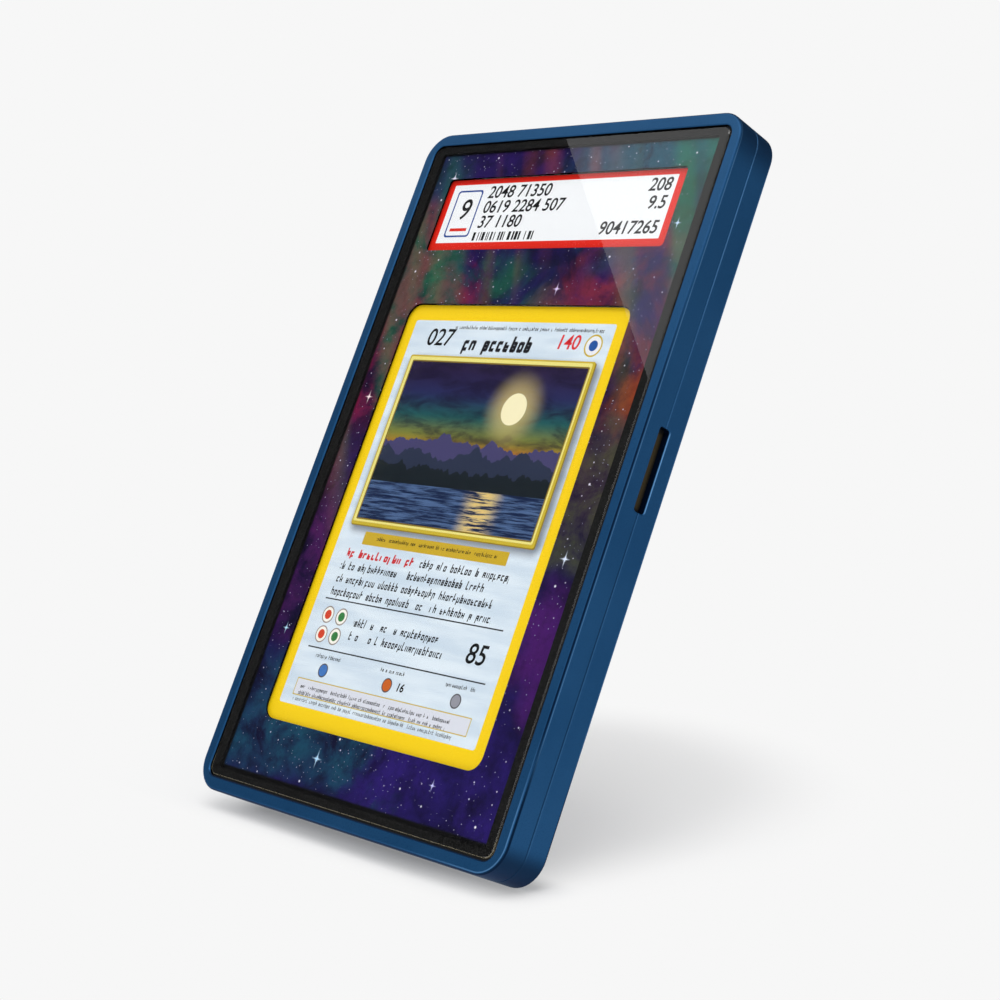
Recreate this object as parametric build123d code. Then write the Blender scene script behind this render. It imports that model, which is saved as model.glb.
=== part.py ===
"""Magnetic display case for one graded trading card.

The case stands on its short lower end. +X is to the right, the front looks
along -Y and +Z is up. The two halves meet in the plane y = 0 and the origin
is the middle of the footprint. All lengths are in millimetres.
"""
from build123d import *
import os

# ---- Card, label and sealed card holder ----
card_width = 63.5
card_height = 88.9
card_thickness = 0.3
card_corner_radius = 3.0
card_shift = -1.25  # the card's place across the holder, off the middle
label_width = 67.5
label_height = 16.5
label_thickness = 0.25
label_corner_radius = 0.9
label_shift = -1.1
print_sink = 0.05  # card and label lie this far behind the carrier's face
card_side_margin = 9.5  # from the card to the holder's side
card_foot_margin = 12.45
card_label_gap = 12.25
label_head_margin = 6.4
slab_thickness = 6.2
slab_corner_radius = 3.0
slab_edge_round = 0.4
slab_face_wall = 0.65
slab_side_wall = 1.6
carrier_thickness = 1.6
carrier_play = 0.1
carrier_ledge = 2.0  # ledge that stops the card and label from behind
pocket_play = 0.2
clamp_rib = 1.2

# ---- Fits between the card holder and the case ----
slab_play = 0.2
layer_gap = 0.025  # between loose layers of the stack
insert_thickness = 0.2
mat_margin = 0.08  # the mat's windows are this much wider than card and label all round
mat_shift = 0.4  # the mat's windows sit this far to the right of card and label
cushion_thickness = 0.9
cushion_inset = 0.3

# ---- Inner frames ----
frame_side_wall = 1.6
frame_end_wall = 2.35
frame_fit = 0.05  # glue gap between frame and shell
frame_setback = 0.05  # the frames stop short of the seam, so the shells meet first
flange_thickness = 0.45
window_corner_radius = 0.8

# ---- Shells ----
shell_wall = 1.45
case_corner_radius = 6.0
face_rim = 2.65
outer_edge_round = 0.6
rim_bevel = 0.25  # on the rim's inner edge, beside the glass
seam_bevel = 0.12

# ---- Glass ----
glass_thickness = 0.7
glass_recess = 0.05
glass_gap = 0.4
glass_corner_radius = 1.9
glass_bevel = 0.2
tape_thickness = 0.1
tape_inset = 0.15
border_side = 2.8  # black border seen beside the window
border_end = 1.95  # black border seen above and below the window

# ---- Pry slot on the right side ----
slot_length = 16.0
slot_width = 2.6
slot_corner_radius = 0.6
slot_bevel = 0.2
slot_rise = 3.2  # above the middle of the case
pry_recess_depth = 0.15  # how far the slot goes on into the inner frames

# ---- Magnets and locating pins ----
magnet_depth = 3.0  # back from the seam
side_magnet_length = 10.0
side_magnet_thickness = 0.9
side_magnet_inner = 28.0  # above and below the middle of the case
side_magnet_outer = 54.0
end_magnet_length = 12.0
end_magnet_thickness = 1.5
end_magnet_spread = 24.0  # either side of the middle
magnet_fit = 0.1
pin_radius = 0.6
pin_spread = 36.0
pin_seat_depth = 2.2
pin_reach = 1.5
pin_nose_bevel = 0.2
pin_seat_gap = 0.01
pin_running_gap = 0.06
pin_bottom_gap = 0.2

# ---- Sizes that follow ----
slab_width = card_width + 2 * card_side_margin
slab_height = card_foot_margin + card_height + card_label_gap + label_height + label_head_margin
card_level = card_foot_margin + card_height / 2 - slab_height / 2
label_level = slab_height / 2 - label_head_margin - label_height / 2
stack_depth = slab_thickness + 2 * insert_thickness + cushion_thickness + 4 * layer_gap
face_stack = glass_recess + glass_thickness + tape_thickness
case_depth = stack_depth + 2 * (face_stack + flange_thickness)
cavity_width = slab_width + 2 * slab_play
cavity_height = slab_height + 2 * slab_play
cavity_corner_radius = slab_corner_radius + slab_play
frame_width = cavity_width + 2 * frame_side_wall
frame_height = cavity_height + 2 * frame_end_wall
pocket_width = frame_width + 2 * frame_fit
pocket_height = frame_height + 2 * frame_fit
case_width = pocket_width + 2 * shell_wall
case_height = pocket_height + 2 * shell_wall
pocket_corner_radius = case_corner_radius - shell_wall
frame_corner_radius = pocket_corner_radius - frame_fit
opening_width = case_width - 2 * face_rim
opening_height = case_height - 2 * face_rim
opening_corner_radius = glass_corner_radius + glass_gap
glass_width = opening_width - 2 * glass_gap
glass_height = opening_height - 2 * glass_gap
window_width = opening_width - 2 * border_side
window_height = opening_height - 2 * border_end
middle = case_height / 2

face_y = -case_depth / 2
glass_front_y = face_y + glass_recess
glass_back_y = glass_front_y + glass_thickness
rim_back_y = glass_back_y + tape_thickness
flange_back_y = rim_back_y + flange_thickness
front_insert_y = flange_back_y + layer_gap
slab_front_y = front_insert_y + insert_thickness + layer_gap
slab_seam_y = slab_front_y + slab_thickness / 2
slab_back_y = slab_front_y + slab_thickness
rear_insert_y = slab_back_y + layer_gap
cushion_y = rear_insert_y + insert_thickness + layer_gap
carrier_y = slab_front_y + slab_face_wall
print_y = carrier_y + print_sink

slab_pocket_width = slab_width - 2 * slab_side_wall
slab_pocket_height = slab_height - 2 * slab_side_wall
slab_pocket_radius = max(slab_corner_radius - slab_side_wall, 0.4)
carrier_width = slab_pocket_width - 2 * carrier_play
carrier_height = slab_pocket_height - 2 * carrier_play


def sheet(width, height, radius, shift=0.0, rise=0.0):
    """A rounded rectangle in the plane of the case's face, off the middle by shift and rise."""
    return Pos(shift, rise) * RectangleRounded(width, height, radius)


def solid_between(outline, front_y, back_y):
    """The solid that an outline sweeps from front_y back to back_y."""
    plane = Plane(origin=(0, front_y, middle), x_dir=(1, 0, 0), z_dir=(0, -1, 0))
    return extrude(plane * outline, amount=front_y - back_y)


def block(size_x, size_y, size_z, x, y, z):
    """A plain block by its centre, with z from the middle of the case."""
    return Pos(x, y, middle + z) * Box(size_x, size_y, size_z)


def to_rear(shape):
    """The same form mirrored to the rear half."""
    return mirror(shape, about=Plane.XZ)


def edges_at(shape, y):
    """The edges that lie wholly in the plane at y."""
    return shape.edges().filter_by_position(Axis.Y, y - 0.001, y + 0.001)


# ---- Pry slot: a rounded slot from the side, with a bevelled mouth ----
def pry_slot(depth):
    side_plane = Plane(
        origin=(case_width / 2, 0, middle + slot_rise), x_dir=(0, 1, 0), z_dir=(1, 0, 0)
    )
    outline = RectangleRounded(slot_width, slot_length, slot_corner_radius)
    mouth = RectangleRounded(
        slot_width + 2 * slot_bevel, slot_length + 2 * slot_bevel, slot_corner_radius + slot_bevel
    )
    throat = extrude(side_plane * outline, amount=-depth)
    return throat + loft([side_plane * mouth, side_plane.offset(-slot_bevel) * outline])


# ---- Aluminium half shell ----
def is_in_opening(edge):
    """True for an edge of the window's outline, which lies inside the rim's middle line."""
    centre = edge.center()
    across = abs(centre.X) < (case_width - face_rim) / 2
    along = abs(centre.Z - middle) < (case_height - face_rim) / 2
    return across and along


def half_shell():
    """The front half shell: a rounded tray with a window in its face."""
    body = solid_between(sheet(case_width, case_height, case_corner_radius), face_y, 0)
    body = fillet(edges_at(body, face_y), outer_edge_round)
    body = chamfer(edges_at(body, 0), seam_bevel)
    pocket = sheet(pocket_width, pocket_height, pocket_corner_radius)
    opening = sheet(opening_width, opening_height, opening_corner_radius)
    body -= solid_between(pocket, rim_back_y, 0)
    body -= solid_between(opening, face_y, rim_back_y)
    inner_edges = edges_at(body, face_y).filter_by(is_in_opening)
    body = chamfer(inner_edges, rim_bevel)
    return body - pry_slot(shell_wall + frame_fit)


# ---- Plastic inner frame ----
def magnet_places():
    """Each magnet as (node word, size x, size z, x, z), with x and z at its centre."""
    side_x = frame_width / 2 - side_magnet_thickness / 2
    end_z = frame_height / 2 - end_magnet_thickness / 2
    places = []
    for side in (-1, 1):
        for level in (-side_magnet_outer, -side_magnet_inner, side_magnet_inner, side_magnet_outer):
            places.append(("side", side_magnet_thickness, side_magnet_length, side * side_x, level))
        for spread in (-end_magnet_spread, end_magnet_spread):
            places.append(("end", end_magnet_length, end_magnet_thickness, spread, side * end_z))
    return places


def magnets(word):
    """The front half's magnets of one kind, flush with the frame's edge at the seam."""
    y = -frame_setback - magnet_depth / 2
    blocks = []
    for kind, size_x, size_z, x, z in magnet_places():
        if kind == word:
            blocks.append(block(size_x, magnet_depth, size_z, x, y, z))
    return blocks


def magnet_pockets():
    """Pockets that open to the seam and to the shell, a fit larger than the magnets."""
    depth = magnet_depth + frame_setback
    pockets = []
    for kind, size_x, size_z, x, z in magnet_places():
        across = kind == "side"
        wide = size_x + (magnet_fit if across else 2 * magnet_fit)
        tall = size_z + (2 * magnet_fit if across else magnet_fit)
        inward_x = magnet_fit / 2 * (-1 if x > 0 else 1) if across else 0
        inward_z = 0 if across else magnet_fit / 2 * (-1 if z > 0 else 1)
        pockets.append(block(wide, depth, tall, x + inward_x, -depth / 2, z + inward_z))
    return pockets


def at_pins(shape):
    """Copies of a shape on the axes of the two locating pins, at opposite corners."""
    level = frame_height / 2 - frame_end_wall / 2
    return [Pos(end * pin_spread, 0, middle + end * level) * shape for end in (-1, 1)]


def round_bar(radius, front_y, back_y):
    """A round bar along Y from front_y back to back_y."""
    plane = Plane(origin=(0, front_y, 0), x_dir=(1, 0, 0), z_dir=(0, -1, 0))
    return extrude(plane * Circle(radius), amount=front_y - back_y)


def inner_frame():
    """The front half's frame: walls round the card holder and a flange behind the glass."""
    body = solid_between(
        sheet(frame_width, frame_height, frame_corner_radius), rim_back_y, -frame_setback
    )
    cavity = sheet(cavity_width, cavity_height, cavity_corner_radius)
    window = sheet(window_width, window_height, window_corner_radius)
    body -= solid_between(cavity, flange_back_y, 0)
    body -= solid_between(window, rim_back_y, flange_back_y)
    body -= magnet_pockets()
    return body - pry_slot(shell_wall + frame_fit + pry_recess_depth)


def front_frame():
    """The front frame takes the pins in running holes."""
    hole = round_bar(pin_radius + pin_running_gap, -pin_reach - pin_bottom_gap, 0)
    return inner_frame() - at_pins(hole)


def rear_frame():
    """The rear frame holds the pins in tight seats."""
    seat = round_bar(pin_radius + pin_seat_gap, 0, pin_seat_depth)
    return to_rear(inner_frame()) - at_pins(seat)


def locating_pins():
    """Two dowels with bevelled noses, seated in the rear frame and reaching past the seam."""
    pin = round_bar(pin_radius, -pin_reach, pin_seat_depth)
    pin = chamfer(edges_at(pin, -pin_reach), pin_nose_bevel)
    return at_pins(pin)


# ---- Glass and its bonding ring ----
def glass():
    """A pane with bevelled front edges, a little below the rim."""
    pane = solid_between(
        sheet(glass_width, glass_height, glass_corner_radius), glass_front_y, glass_back_y
    )
    return chamfer(edges_at(pane, glass_front_y), glass_bevel)


def glass_tape():
    """The black ring between the pane and the frame's flange."""
    outer = sheet(
        glass_width - 2 * tape_inset,
        glass_height - 2 * tape_inset,
        glass_corner_radius - tape_inset,
    )
    inner = sheet(window_width, window_height, window_corner_radius)
    return solid_between(outer - inner, glass_back_y, rim_back_y)


# ---- Soft ring behind the rear insert ----
def cushion():
    outer = sheet(
        cavity_width - 2 * cushion_inset,
        cavity_height - 2 * cushion_inset,
        cavity_corner_radius - cushion_inset,
    )
    inner = sheet(
        window_width + 2 * cushion_inset, window_height + 2 * cushion_inset, window_corner_radius
    )
    return solid_between(outer - inner, cushion_y, cushion_y + cushion_thickness)


# ---- Printed mats ----
def card_outline(margin, shift=0.0):
    """The card's outline, grown by a margin and moved to the right by shift."""
    return sheet(
        card_width + 2 * margin,
        card_height + 2 * margin,
        card_corner_radius + margin,
        card_shift + shift,
        card_level,
    )


def label_outline(margin, shift=0.0):
    """The label's outline, grown by a margin and moved to the right by shift."""
    return sheet(
        label_width + 2 * margin,
        label_height + 2 * margin,
        max(label_corner_radius + margin, 0.1),
        label_shift + shift,
        label_level,
    )


def art_insert(front_y):
    """A printed sheet of the card holder's size, with windows for the card and the label."""
    outline = sheet(slab_width, slab_height, slab_corner_radius)
    windows = card_outline(mat_margin, mat_shift) + label_outline(mat_margin, mat_shift)
    return solid_between(outline - windows, front_y, front_y + insert_thickness)


# ---- Sealed card holder ----
def slab_front():
    """The holder's front shell: a shallow tray, welded to the rear shell at its edge."""
    outer = sheet(slab_width, slab_height, slab_corner_radius)
    body = solid_between(outer, slab_front_y, slab_seam_y)
    body = fillet(edges_at(body, slab_front_y), slab_edge_round)
    pocket = sheet(slab_pocket_width, slab_pocket_height, slab_pocket_radius)
    return body - solid_between(pocket, carrier_y, slab_seam_y)


def slab_rear():
    """The holder's rear shell, with ribs that clamp the carrier against the front shell."""
    outer = sheet(slab_width, slab_height, slab_corner_radius)
    body = solid_between(outer, slab_seam_y, slab_back_y)
    body = fillet(edges_at(body, slab_back_y), slab_edge_round)
    pocket = sheet(slab_pocket_width, slab_pocket_height, slab_pocket_radius)
    floor_y = slab_back_y - slab_face_wall
    body -= solid_between(pocket, slab_seam_y, floor_y)
    rib_outer = sheet(carrier_width, carrier_height, slab_pocket_radius)
    rib_inner = sheet(
        carrier_width - 2 * clamp_rib, carrier_height - 2 * clamp_rib, slab_pocket_radius
    )
    rib_front_y = carrier_y + carrier_thickness
    body += solid_between(rib_outer - rib_inner, rib_front_y, floor_y)
    return body + block(
        carrier_width - 2 * clamp_rib,
        floor_y - rib_front_y,
        clamp_rib,
        0,
        (rib_front_y + floor_y) / 2,
        bar_level(),
    )


def bar_level():
    """The middle of the gap between card and label, from the middle of the case."""
    return label_level - label_height / 2 - card_label_gap / 2


def carrier():
    """The tray that holds card and label just behind the holder's front wall."""
    outline = sheet(carrier_width, carrier_height, slab_pocket_radius)
    body = solid_between(outline, carrier_y, carrier_y + carrier_thickness)
    body -= solid_between(card_outline(pocket_play), carrier_y, print_y + card_thickness)
    body -= solid_between(label_outline(pocket_play), carrier_y, print_y + label_thickness)
    openings = card_outline(-carrier_ledge) + label_outline(-carrier_ledge)
    return body - solid_between(openings, carrier_y, carrier_y + carrier_thickness)


# ---- The parts, by name ----
front_parts = {
    "shell": half_shell(),
    "glass": glass(),
    "glass_tape": glass_tape(),
    "side_magnets": Compound(children=magnets("side")),
    "end_magnets": Compound(children=magnets("end")),
}
parts = {"front_" + name: shape for name, shape in front_parts.items()}
for name, shape in front_parts.items():
    parts["rear_" + name] = to_rear(shape)
parts["front_inner_frame"] = front_frame()
parts["rear_inner_frame"] = rear_frame()
parts["locating_pins"] = Compound(children=locating_pins())
parts["rear_cushion"] = cushion()
parts["front_art_insert"] = art_insert(front_insert_y)
parts["rear_art_insert"] = art_insert(rear_insert_y)
parts["slab_front_shell"] = slab_front()
parts["slab_rear_shell"] = slab_rear()
parts["card_carrier"] = carrier()
parts["trading_card"] = solid_between(card_outline(0), print_y, print_y + card_thickness)
parts["grade_label"] = solid_between(label_outline(0), print_y, print_y + label_thickness)

os.makedirs("parts", exist_ok=True)
for name, shape in parts.items():
    export_step(shape, f"parts/{name}.step")
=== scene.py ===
"""The looks of the trading card display case: finishes, printed art, clear parts and the studio.

Places are in metres in the case's own frame: +X to the right, the front looks along -Y and +Z is up.
Printed patterns are drawn in millimetres on a sheet's own face.
"""
import math

import bmesh
import bpy
from mathutils import Euler, Matrix, Vector


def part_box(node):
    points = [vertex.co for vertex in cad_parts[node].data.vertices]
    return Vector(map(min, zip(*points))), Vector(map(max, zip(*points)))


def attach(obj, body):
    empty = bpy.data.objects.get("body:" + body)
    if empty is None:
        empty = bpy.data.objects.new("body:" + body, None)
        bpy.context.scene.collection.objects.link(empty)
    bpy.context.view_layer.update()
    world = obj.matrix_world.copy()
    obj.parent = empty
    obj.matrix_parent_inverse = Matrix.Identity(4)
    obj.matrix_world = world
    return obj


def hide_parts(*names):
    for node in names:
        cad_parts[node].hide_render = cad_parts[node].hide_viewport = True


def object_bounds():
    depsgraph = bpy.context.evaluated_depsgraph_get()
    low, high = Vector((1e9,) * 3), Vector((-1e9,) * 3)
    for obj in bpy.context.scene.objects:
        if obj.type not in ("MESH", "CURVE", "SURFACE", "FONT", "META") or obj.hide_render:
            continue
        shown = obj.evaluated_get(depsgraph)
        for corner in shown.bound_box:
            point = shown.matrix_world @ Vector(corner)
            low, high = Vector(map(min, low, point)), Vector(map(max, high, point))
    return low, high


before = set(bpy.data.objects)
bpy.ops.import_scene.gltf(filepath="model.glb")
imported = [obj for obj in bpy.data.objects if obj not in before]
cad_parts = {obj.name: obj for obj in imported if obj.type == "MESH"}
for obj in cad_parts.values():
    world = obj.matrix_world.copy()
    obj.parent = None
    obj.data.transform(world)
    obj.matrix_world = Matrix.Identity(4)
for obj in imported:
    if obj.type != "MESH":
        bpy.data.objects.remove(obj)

MM = 0.001
cad_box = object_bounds()


# ---- Shader maths ----
class Signal:
    """A number that varies over a surface. Arithmetic on it adds Math nodes to its finish."""

    def __init__(self, finish, socket):
        self.finish = finish
        self.socket = socket

    def __add__(self, other):
        return self.finish.math("ADD", self, other)

    def __radd__(self, other):
        return self.finish.math("ADD", other, self)

    def __sub__(self, other):
        return self.finish.math("SUBTRACT", self, other)

    def __rsub__(self, other):
        return self.finish.math("SUBTRACT", other, self)

    def __mul__(self, other):
        return self.finish.math("MULTIPLY", self, other)

    def __rmul__(self, other):
        return self.finish.math("MULTIPLY", other, self)

    def __truediv__(self, other):
        return self.finish.math("DIVIDE", self, other)

    def __rtruediv__(self, other):
        return self.finish.math("DIVIDE", other, self)

    def __pow__(self, other):
        return self.finish.math("POWER", self, other)

    def __rpow__(self, other):
        return self.finish.math("POWER", other, self)

    def __abs__(self):
        return self.finish.math("ABSOLUTE", self)

    def __gt__(self, other):
        return self.finish.math("GREATER_THAN", self, other)

    def __lt__(self, other):
        return self.finish.math("LESS_THAN", self, other)

    def least(self, other):
        return self.finish.math("MINIMUM", self, other)

    def most(self, other):
        return self.finish.math("MAXIMUM", self, other)

    def floor(self):
        return self.finish.math("FLOOR", self)

    def fraction(self):
        return self.finish.math("FRACT", self)

    def sine(self):
        return self.finish.math("SINE", self)

    def rise(self, low, high):
        """0 below low and 1 above high, with a smooth slope between; high may be the lower one."""
        inputs = {"Value": self, "From Min": low, "From Max": high}
        ramp = self.finish.node(
            "ShaderNodeMapRange", {"interpolation_type": "SMOOTHSTEP"}, inputs
        )
        return Signal(self.finish, ramp.outputs["Result"])


class Finish:
    """A material under construction, with one method that adds any node."""

    def __init__(self, name, world=None):
        self.material = world or bpy.data.materials.new(name)
        self.material.use_nodes = True
        self.tree = self.material.node_tree
        self.tree.nodes.clear()
        coordinates = self.node("ShaderNodeTexCoord").outputs
        self.place = coordinates["Generated" if world else "Object"]  # Generated: the sky's bearing

    def node(self, kind, settings=None, inputs=None):
        """Adds a node: its settings first, then a value or a link for each named socket."""
        made = self.tree.nodes.new(kind)
        for key, value in (settings or {}).items():
            setattr(made, key, value)
        for key, value in (inputs or {}).items():
            if isinstance(value, Signal):
                value = value.socket
            if isinstance(value, bpy.types.NodeSocket):
                self.tree.links.new(value, made.inputs[key])
            else:
                made.inputs[key].default_value = value
        return made

    def math(self, operation, *values):
        made = self.node("ShaderNodeMath", {"operation": operation}, dict(enumerate(values)))
        return Signal(self, made.outputs[0])

    def axes(self, centre=(0.0, 0.0, 0.0)):
        """Three signals: x, y and z in millimetres from a centre given in metres."""
        shifted = self.node(
            "ShaderNodeVectorMath",
            {"operation": "MULTIPLY_ADD"},
            {0: self.place, 1: (1000.0,) * 3, 2: tuple(-1000.0 * c for c in centre)},
        )
        parts = self.node("ShaderNodeSeparateXYZ", None, {0: shifted.outputs[0]})
        return [Signal(self, parts.outputs[i]) for i in range(3)]

    def vector(self, x=0.0, y=0.0, z=0.0):
        return self.node("ShaderNodeCombineXYZ", None, {0: x, 1: y, 2: z}).outputs[0]

    def noise(self, vector, scale, detail=2.0, roughness=0.5, warp=0.0):
        inputs = {
            "Vector": vector,
            "Scale": scale,
            "Detail": detail,
            "Roughness": roughness,
            "Distortion": warp,
        }
        return Signal(self, self.node("ShaderNodeTexNoise", None, inputs).outputs[0])

    def dice(self, vector):
        """A random number from 0 to 1 for each different value of a vector."""
        made = self.node("ShaderNodeTexWhiteNoise", {"noise_dimensions": "3D"}, {"Vector": vector})
        return Signal(self, made.outputs["Value"])

    def blend(self, low, high, share):
        """Goes from one colour to another as share goes from 0 to 1."""
        made = self.node("ShaderNodeMix", {"data_type": "RGBA"}, {0: share, 6: low, 7: high})
        return made.outputs[2]

    def bump(self, height, depth, strength=1.0):
        """Surface relief whose full height is depth, in metres."""
        inputs = {"Strength": strength, "Distance": depth, "Height": height}
        return self.node("ShaderNodeBump", None, inputs).outputs[0]

    def principled(self, inputs):
        return self.node("ShaderNodeBsdfPrincipled", None, inputs).outputs[0]

    def done(self, shader):
        self.node("ShaderNodeOutputMaterial", None, {"Surface": shader})
        return self.material


def paint(red, green, blue):
    """The linear colour of a display colour given from 0 to 255."""
    levels = [level / 255 for level in (red, green, blue)]
    linear = [v / 12.92 if v <= 0.04045 else ((v + 0.055) / 1.055) ** 2.4 for v in levels]
    return (*linear, 1.0)


# ---- Printed shapes, in millimetres ----
EDGE = 0.05  # softness of a printed edge


def beyond_box(u, v, centre, half, corner=0.0):
    """The distance out from a rounded rectangle, below 0 inside it: the length of the part of
    |offset| - half + corner that lies above 0, less corner."""
    across = abs(u - centre[0]) - (half[0] - corner)
    along = abs(v - centre[1]) - (half[1] - corner)
    outer = (across.most(0.0) ** 2.0 + along.most(0.0) ** 2.0) ** 0.5
    return outer + across.most(along).least(0.0) - corner


def inside_box(u, v, centre, half, corner=0.0):
    return beyond_box(u, v, centre, half, corner).rise(EDGE, -EDGE)


def reach(u, v, centre):
    """The distance from a centre."""
    return ((u - centre[0]) ** 2.0 + (v - centre[1]) ** 2.0) ** 0.5


def inside_disc(u, v, centre, radius):
    return reach(u, v, centre).rise(radius + EDGE, radius - EDGE)


def ring(u, v, centre, radius, width):
    away = abs(reach(u, v, centre) - radius)
    return away.rise(width / 2 + EDGE, width / 2 - EDGE)


def marks(finish, u, v, pitch, letter, seed, weight=0.12):
    """Rows of small marks that read as print from afar. Each cell, a letter wide and a row high, has
    a left stem that may rise or hang, and by throws of dice a right stem and three bars."""
    slanted = u - v * 0.12
    row = (v / pitch).floor()
    up_row = (v / pitch).fraction()
    column = (slanted / letter).floor()
    across = (slanted / letter).fraction()

    def stroke(place, middle, width):
        return abs(place - middle).rise(width * 1.25, width * 0.75)

    throws = []
    for number in range(2):
        dice = finish.node(
            "ShaderNodeTexWhiteNoise",
            {"noise_dimensions": "3D"},
            {"Vector": finish.vector(column, row, seed + number * 3.7)},
        )
        channels = finish.node("ShaderNodeSeparateColor", None, {0: dice.outputs["Color"]})
        throws += [Signal(finish, channels.outputs[i]) for i in range(3)]
    top = (throws[1] > 0.7) * 0.24 + 0.63
    foot = (throws[1] < 0.12) * -0.17 + 0.25
    tall = (top - up_row).rise(-0.02, 0.02) * (up_row - foot).rise(-0.02, 0.02)
    body = abs(up_row - 0.44).rise(0.21, 0.17)
    width = abs(across - 0.45).rise(0.32, 0.26)
    ink = stroke(across, 0.2, weight) * tall
    ink = ink.most(stroke(across, 0.7, weight) * body * (throws[0] > 0.35))
    for number, height, least in ((2, 0.59, 0.3), (3, 0.29, 0.35), (4, 0.44, 0.66)):
        bar = stroke(up_row, height, weight * 0.46) * width
        ink = ink.most(bar * (throws[number] > least))
    return ink * (throws[5] > 0.15)


def rows(finish, u, v, left, right, top, count, pitch, ragged=0.0):
    """1 over some whole rows of print below a row number, from left to a right edge that may differ
    from row to row."""
    end = right
    if ragged:
        row = (v / pitch).floor()
        end = right - finish.dice(finish.vector(row, left, 1.5)) * ragged
    low = (top - count) * pitch
    return (u > left) * (end > u) * (v > low) * (top * pitch > v)


# ---- Places read from the frame ----
case_low, case_high = cad_box
MIDDLE = (case_low.z + case_high.z) / 2
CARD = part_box("trading_card")
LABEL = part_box("grade_label")
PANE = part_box("front_glass")


def middle_of(box):
    return (box[0] + box[1]) / 2


def half_of(box):
    """Half of a box's width and height, in millimetres."""
    return (box[1].x - box[0].x) / 2 / MM, (box[1].z - box[0].z) / 2 / MM


# Halves, corners and depths in millimetres, from the middle of the case.
CASE_HALF = half_of(cad_box)
CASE_CORNER = 6.0
FACE_DEPTH = case_high.y / MM  # out to either face
PANE_HALF = half_of(PANE)
PANE_CORNER = 1.9
PANE_BACK = -PANE[1].y / MM  # out to the inner side of either pane
PANE_GAP = 0.4
OPENING_HALF = (PANE_HALF[0] + PANE_GAP, PANE_HALF[1] + PANE_GAP)
OPENING_CORNER = 2.3
BORDER = (2.8, 1.95)  # the width of the black border at the sides and at the ends
WINDOW_HALF = (OPENING_HALF[0] - BORDER[0], OPENING_HALF[1] - BORDER[1])
WINDOW_CORNER = 0.8
PRINT_RISE = 0.3  # the print stops twice this short of the window's lower edge
PRINT_HALF = (WINDOW_HALF[0], WINDOW_HALF[1] - PRINT_RISE)
SLOT_RISE = 3.2  # the pry slot's middle, above the case's
SLOT_HALF = (1.3, 8.0)
SLOT_CORNER = 0.6
THROAT = (41.0, 44.38)  # the slot's throat, from its bottom to its mouth


# ---- Finishes ----
def band(value, middle, full, end):
    """1 within full of a middle value, and 0 from end on."""
    return abs(value - middle).rise(end, full)


def rounding_painted_light(x, z, turn):
    """Painted highlights and painted shade on the outer rounding, lines of reflected light and dark
    drawn into its colour, where turn goes from -0.6 at the face to 0.6 at the side. Near the foot
    it is bright by the face, most so at the right corner, and dark beyond. Above, it is dark in the
    middle, and on the right bright by the side."""
    foot = z.rise(-44.0, -60.0)
    above = 1.0 - foot
    corner = z.rise(-54.0, -64.0) * x.rise(26.0, 38.0)
    # painted highlight on the rounding, then painted shade below
    painted_highlight = band(turn, -0.42, 0.04, 0.22) * foot * x.rise(8.0, 38.0) * (corner * 0.35 + 0.25)
    painted_highlight = painted_highlight.most(band(turn, 0.42, 0.04, 0.16) * above * (x > 40.0) * 0.6)
    painted_shade = band(turn, 0.26, 0.2, 0.42) * (foot * 0.9)
    painted_shade = painted_shade.most(band(turn, -0.1, 0.16, 0.34) * above * (z.rise(48.0, 8.0) * 0.6 + 0.35))
    return painted_highlight, painted_shade


def wall_painted_light(x, y, z, outline):
    """The same for the walls: along the seam runs a painted highlight, strongest high up, and a dark
    joint line that painted shade deepens low down. The ends are darkened with painted shade, and so
    is the foot's right corner."""
    wall = outline > -0.3
    painted_highlight = band(y, 0.14, 0.04, 0.18) * wall * (z.rise(18.0, 50.0) * 0.3 + 0.12)
    painted_shade = band(y, -0.16, 0.08, 0.22) * wall * (z.rise(14.0, -20.0) * 0.55 + 0.1)
    # painted shade on the end walls and at the foot's right corner
    ends = abs(z + 2.0).rise(63.0, 70.0) * wall * 0.6
    below = beyond_box(x, z, (0.0, 4.0), CASE_HALF, CASE_CORNER).rise(0.6, 2.6)
    return painted_highlight, painted_shade.most(ends).most(below * wall * x.rise(20.0, 40.0) * 0.75)


def slot_painted_light(x, y, z):
    """The same for the pry slot: a painted highlight on its rear lip and painted shade in its
    throat.
    """
    beyond = beyond_box(y, z, (0.0, SLOT_RISE), SLOT_HALF, SLOT_CORNER)
    # painted highlight on the slot's rear lip, painted shade in its throat
    lip = band(beyond, 0.17, 0.04, 0.14) * (y > 1.0) * (x > 44.0)
    painted_highlight = lip * abs(z - SLOT_RISE).rise(8.0, 7.2)
    throat = (beyond < 0.05) * (x > THROAT[0]) * (x < THROAT[1])
    return painted_highlight, throat * 0.95


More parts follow.
